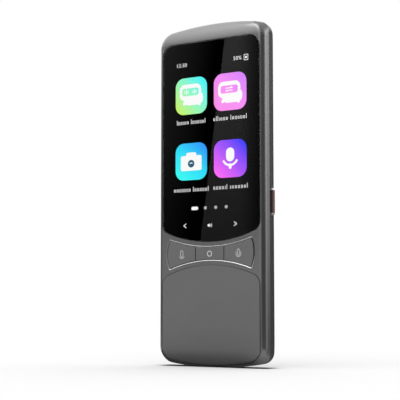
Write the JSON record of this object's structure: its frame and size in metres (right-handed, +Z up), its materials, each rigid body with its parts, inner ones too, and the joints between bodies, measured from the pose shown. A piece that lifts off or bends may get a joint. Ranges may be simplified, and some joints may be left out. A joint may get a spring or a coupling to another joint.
{
  "type": "handheld translator",
  "caption": "Slim upright handheld translator with a glass display, a bow-tie key cluster, an inlaid lower panel and a sprung side button.",
  "frame": {"origin": "middle of the flat land on the lower end that the translator stands on, midway through the case's thickness", "axes": "+Z up along the translator's length, -Y out of the screen, +X to the right seen from the front"},
  "size_m": [0.052, 0.0107, 0.1418],
  "materials": {
    "case": "satin dark grey, fine bead-blasted",
    "panel": "matt dark grey, soft touch",
    "key": "satin dark grey with pale printed marks",
    "cover_glass": "polished, black border",
    "display": "lit colour tiles on black",
    "bright_trim": "polished",
    "side_button": "dark red anodised, polished cut ends",
    "light_metal": "stamped, dull",
    "screw_steel": "bright",
    "board": "green solder mask",
    "flex": "amber film",
    "cell_foil": "silver laminate",
    "black_rubber": "matt",
    "dark_plastic": "matt black",
    "white_plastic": "diffusing white",
    "clear_plastic": "frosted clear"
  },
  "bodies": {
    "housing": {"front_frame": "case", "rear_housing": "case", "lower_panel": "panel", "cover_glass": "cover_glass", "glass_gasket": "black_rubber", "display_panel": "display", "display_backlight": "white_plastic", "midframe": "light_metal", "midframe_screws": "screw_steel", "case_screws": "screw_steel", "key_trim": "bright_trim", "key_seal": "black_rubber", "dome_switches": "screw_steel", "key_board": "board", "side_switch": "dark_plastic", "battery": "cell_foil", "battery_tape": "black_rubber", "battery_foam": "black_rubber", "battery_lead": "flex", "main_board": "board", "board_screws": "screw_steel", "shield_cans": "screw_steel", "chips": "dark_plastic", "antenna": "flex", "camera_module": "dark_plastic", "camera_window": "cover_glass", "camera_ring": "bright_trim", "flash_lens": "clear_plastic", "usb_shell": "screw_steel", "usb_tongue": "dark_plastic", "usb_board": "board", "usb_screws": "screw_steel", "speaker": "dark_plastic", "speaker_mesh": "dark_plastic", "microphones": "screw_steel", "mic_boots": "black_rubber", "display_flex": "flex", "key_flex": "flex", "link_flex": "flex"},
    "left_key": {"left_key": "key"},
    "centre_key": {"centre_key": "key"},
    "right_key": {"right_key": "key"},
    "side_button": {"side_button": "side_button"}
  },
  "joints": [
    {"name": "left_key_press", "type": "slide", "parent": "housing", "child": "left_key", "axis": [0, 1, 0], "range_m": [0, 0.00025], "stiffness_N_per_m": 600},
    {"name": "centre_key_press", "type": "slide", "parent": "housing", "child": "centre_key", "axis": [0, 1, 0], "range_m": [0, 0.00025], "stiffness_N_per_m": 600},
    {"name": "right_key_press", "type": "slide", "parent": "housing", "child": "right_key", "axis": [0, 1, 0], "range_m": [0, 0.00025], "stiffness_N_per_m": 600},
    {"name": "side_button_press", "type": "slide", "parent": "housing", "child": "side_button", "axis": [-1, 0, 0], "range_m": [0, 0.00035], "stiffness_N_per_m": 800}
  ]
}
